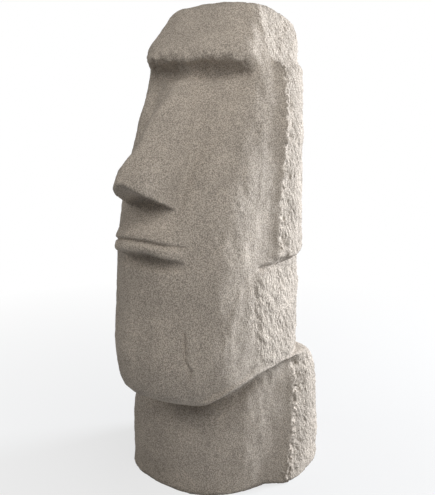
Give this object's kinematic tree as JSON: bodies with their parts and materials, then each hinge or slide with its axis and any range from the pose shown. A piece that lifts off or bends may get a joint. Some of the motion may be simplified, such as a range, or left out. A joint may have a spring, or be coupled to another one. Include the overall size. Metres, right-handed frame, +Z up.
{
  "type": "moai garden statue",
  "caption": "Garden statue of a moai: a long carved head with a heavy brow, straight nose and jutting jaw over a low bust, in stone-look cast resin.",
  "frame": {"origin": "on the ground, under the middle of the bust, on the flat underside", "axes": "+Z up, the face looks along -Y, +X is the statue's own left side"},
  "size_m": [0.264, 0.3472, 0.711],
  "materials": {
    "stone_look_resin": "matt sand-grained cast resin in a warm grey"
  },
  "bodies": {
    "root": {"statue": "stone_look_resin"}
  },
  "joints": []
}
